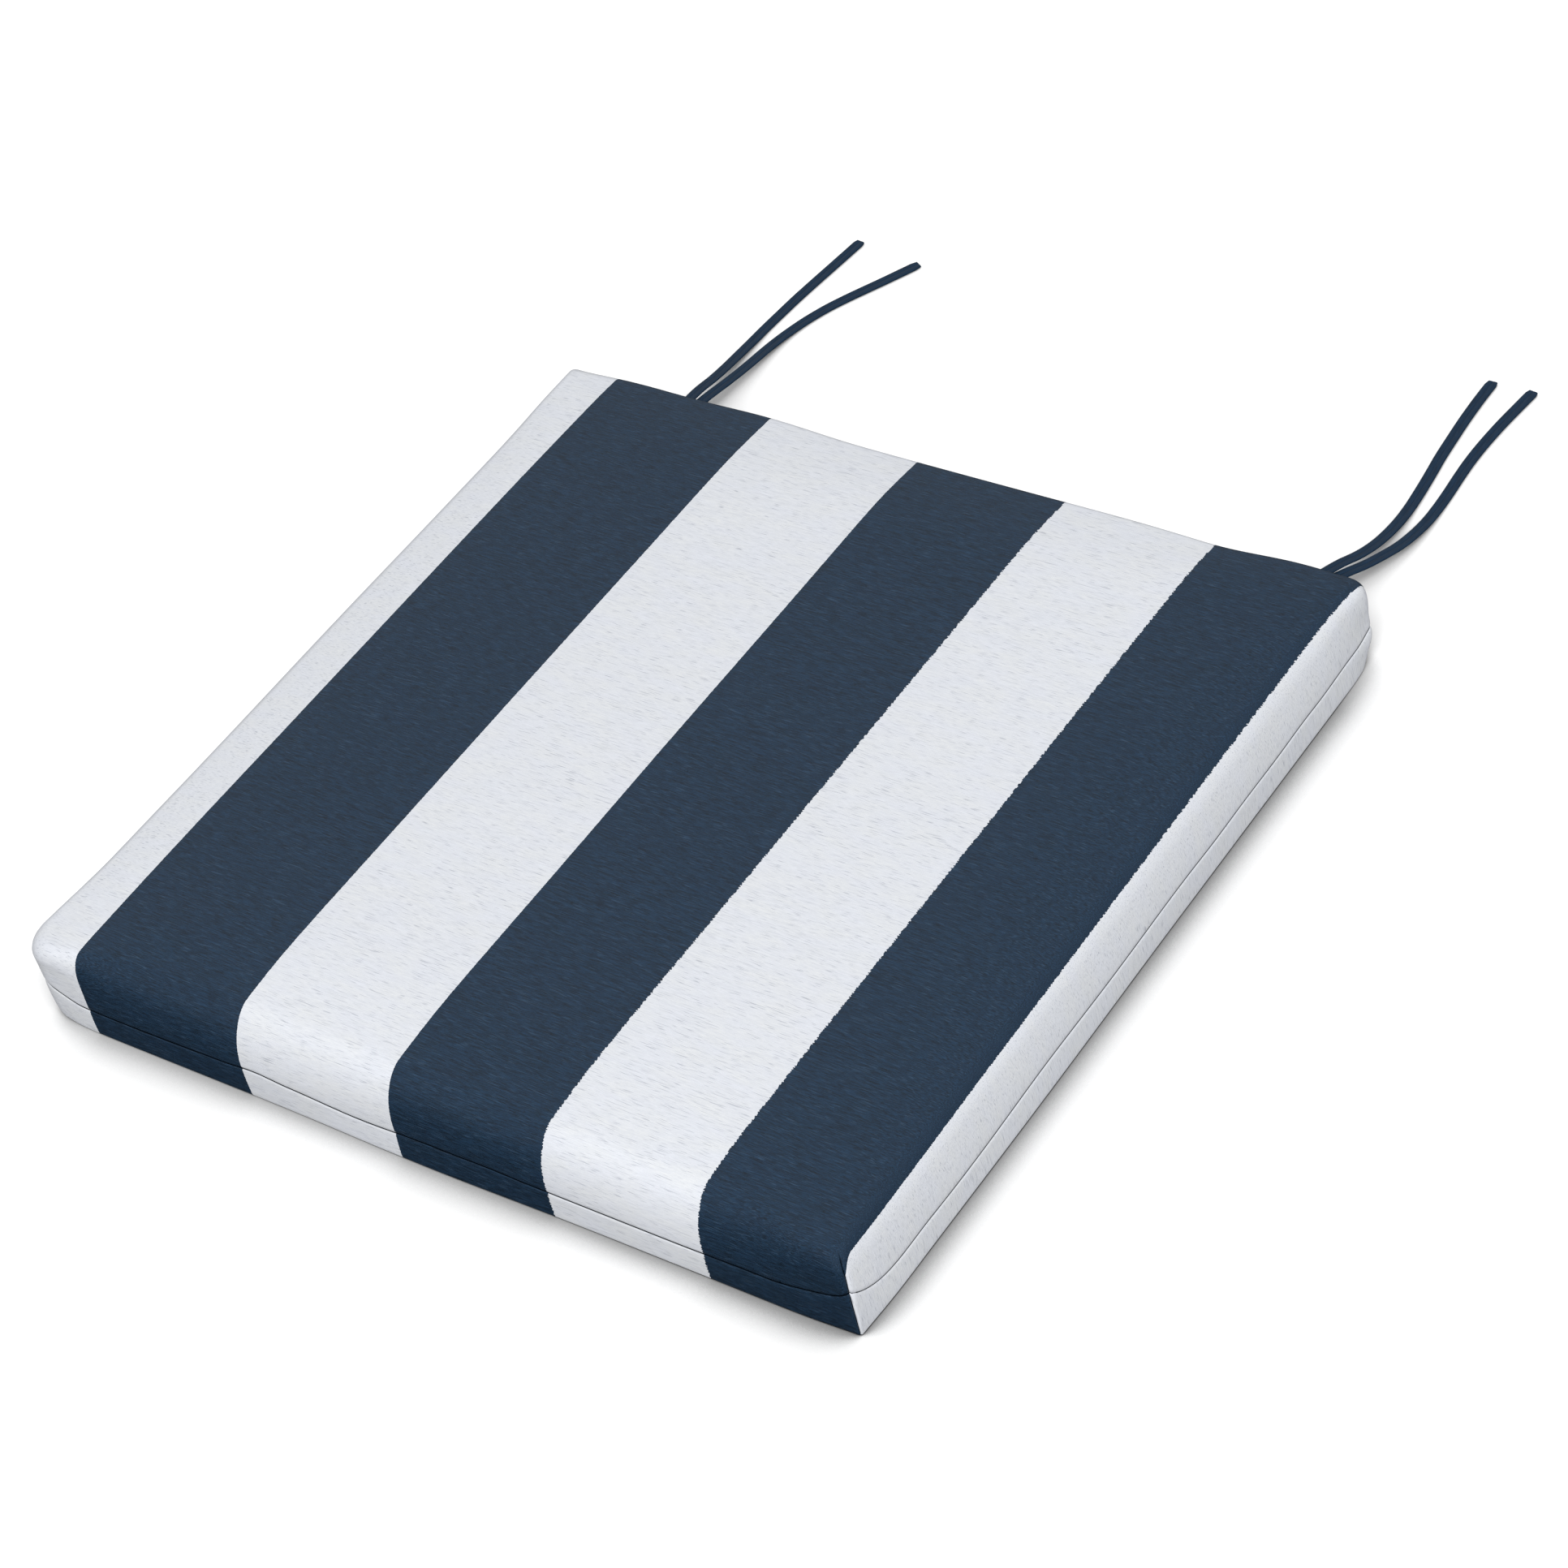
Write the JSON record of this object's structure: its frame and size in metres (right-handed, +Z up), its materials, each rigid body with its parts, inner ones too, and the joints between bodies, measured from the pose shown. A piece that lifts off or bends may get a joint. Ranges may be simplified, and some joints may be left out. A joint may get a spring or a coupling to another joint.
{
  "type": "chair pad",
  "caption": "Square filled chair pad with a soft rounded top edge, wide navy and pale stripes, a seam low round its side, and flat cloth ties leaving the seam at the back.",
  "frame": {"origin": "the middle of the pad's underside, on the surface that it lies on", "axes": "+Z up, through the pad's thickness; +X to the right along its width; the front faces -Y and the ties leave towards +Y"},
  "size_m": [0.5096, 0.7034, 0.056],
  "materials": {
    "striped_cloth": "matt plain weave with wide navy and pale stripes that run from front to back",
    "tie_cloth": "matt plain weave in navy"
  },
  "bodies": {
    "root": {"pad": "striped_cloth", "tie_left_outer": "tie_cloth", "tie_left_inner": "tie_cloth", "tie_right_inner": "tie_cloth", "tie_right_outer": "tie_cloth"}
  },
  "joints": []
}
